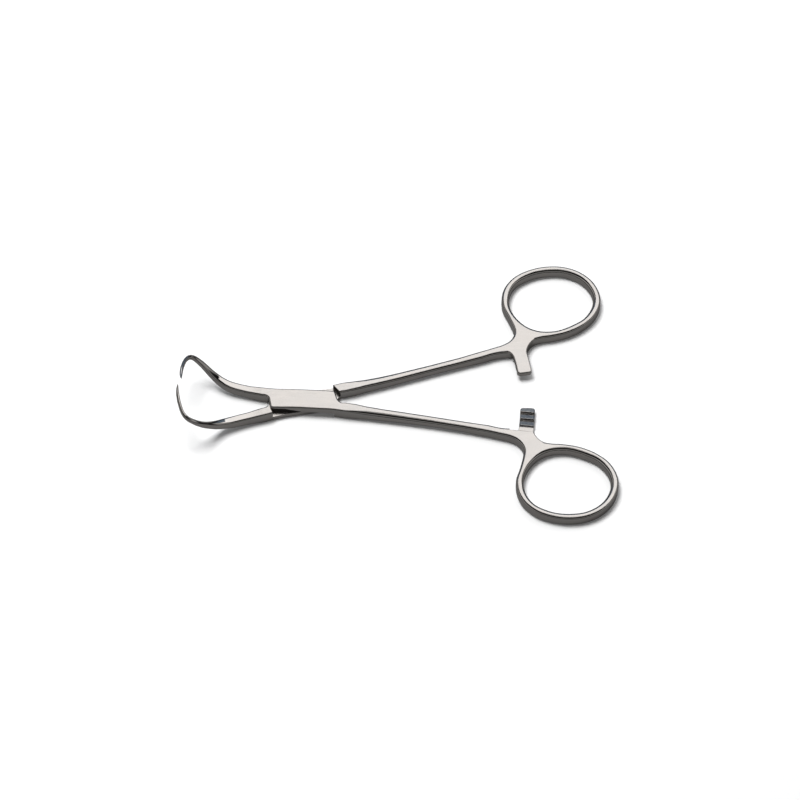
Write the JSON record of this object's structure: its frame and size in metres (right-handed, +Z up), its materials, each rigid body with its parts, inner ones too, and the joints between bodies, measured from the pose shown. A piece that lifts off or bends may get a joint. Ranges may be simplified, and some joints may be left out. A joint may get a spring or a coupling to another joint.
{
  "type": "towel clamp",
  "caption": "Curved towel clamp with two sharp hooked jaws that pass side by side, a flush screwed lap joint, finger rings and a toothed ratchet between the handles.",
  "frame": {"origin": "on the pivot's axis, in the plane that the clamp lies on", "axes": "+X along the clamp towards the finger rings, +Y towards the ring of the lower half, +Z up from the plane that the clamp lies on"},
  "size_m": [0.1349, 0.095, 0.0169],
  "materials": {
    "upper_steel": "satin flats with polished jaws",
    "lower_steel": "satin flats with polished jaws",
    "screw_steel": "turned satin"
  },
  "bodies": {
    "upper": {"upper_half": "upper_steel", "pivot_screw": "screw_steel"},
    "lower": {"lower_half": "lower_steel"}
  },
  "joints": [
    {"name": "pivot", "type": "hinge", "parent": "upper", "child": "lower", "pos_m": [0, 0, 0], "axis": [0, 0, 1], "range_deg": [-15.2, 110]}
  ]
}
